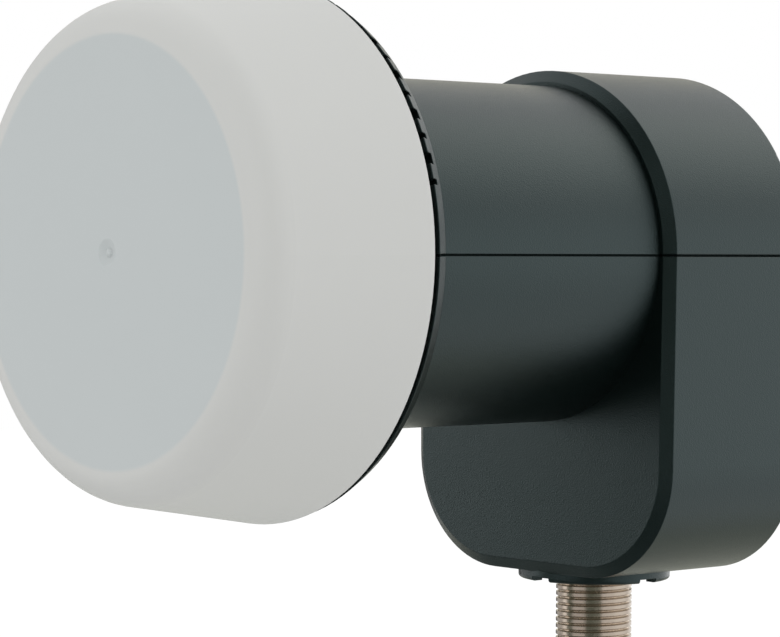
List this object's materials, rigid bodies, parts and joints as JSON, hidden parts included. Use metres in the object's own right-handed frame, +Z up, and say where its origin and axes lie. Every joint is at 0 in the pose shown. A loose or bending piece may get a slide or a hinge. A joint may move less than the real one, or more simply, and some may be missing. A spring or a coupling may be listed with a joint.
{
  "type": "satellite lnb",
  "caption": "Satellite low-noise converter: round feed cap, clampable neck with a skew scale, rounded housing and a threaded coaxial connector pointing down.",
  "frame": {"origin": "on the neck's axis, in the middle of the length that the dish arm's clamp holds", "axes": "+Z up with the connector pointing down, feed cap along -Y, housing along +Y"},
  "size_m": [0.0596, 0.0856, 0.0814],
  "materials": {
    "dark_shell": "fine-grained satin moulding",
    "pale_cap": "satin moulding",
    "seal_rubber": "matt",
    "casting": "as cast",
    "board_laminate": "solder resist",
    "probe_copper": "plated",
    "package_black": "moulded package",
    "chip_ceramic": "fired",
    "crystal_can": "bright",
    "absorber_rubber": "matt",
    "screw_steel": "zinc plated",
    "plated_barrel": "nickel plated, machined",
    "insulator_white": "smooth",
    "contact_brass": "plated"
  },
  "bodies": {
    "root": {"upper_shell": "dark_shell", "lower_shell": "dark_shell", "feed_cap": "pale_cap", "cap_seal": "seal_rubber", "connector_seal": "seal_rubber", "chamber_gasket": "seal_rubber", "cast_body": "casting", "backshort_lid": "casting", "circuit_board": "board_laminate", "vertical_probe": "probe_copper", "horizontal_probe": "probe_copper", "low_noise_transistors": "package_black", "converter_chip": "package_black", "voltage_regulator": "package_black", "surge_diode": "package_black", "power_inductor": "package_black", "chip_resistors": "package_black", "filter_capacitors": "chip_ceramic", "reference_crystal": "crystal_can", "absorber_pad": "absorber_rubber", "lid_screws": "screw_steel", "connector_barrel": "plated_barrel", "connector_insulator": "insulator_white", "centre_contact": "contact_brass"}
  },
  "joints": []
}
